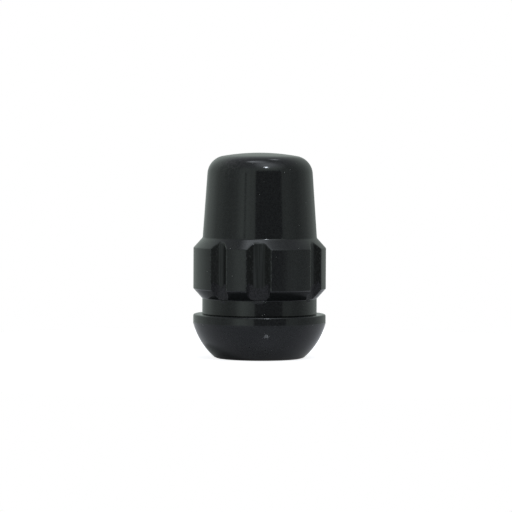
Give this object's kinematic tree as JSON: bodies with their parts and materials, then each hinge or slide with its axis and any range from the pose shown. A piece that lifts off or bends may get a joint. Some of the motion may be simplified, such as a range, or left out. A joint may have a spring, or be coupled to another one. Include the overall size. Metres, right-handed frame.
{
  "type": "locking lug nut",
  "caption": "Closed-end locking lug nut with a ball seat, a keyed drive band of irregular grooves and a tapered, softly domed cap, in gloss black.",
  "frame": {"origin": "centre of the flat base at the seat end, on the thread axis", "axes": "+Z along the thread axis, from the seat end up to the crown; -Y through the wide index groove of the key"},
  "size_m": [0.0232, 0.0232, 0.0359],
  "materials": {
    "black_coat": "gloss black coating over steel"
  },
  "bodies": {
    "root": {"lug_nut": "black_coat"}
  },
  "joints": []
}
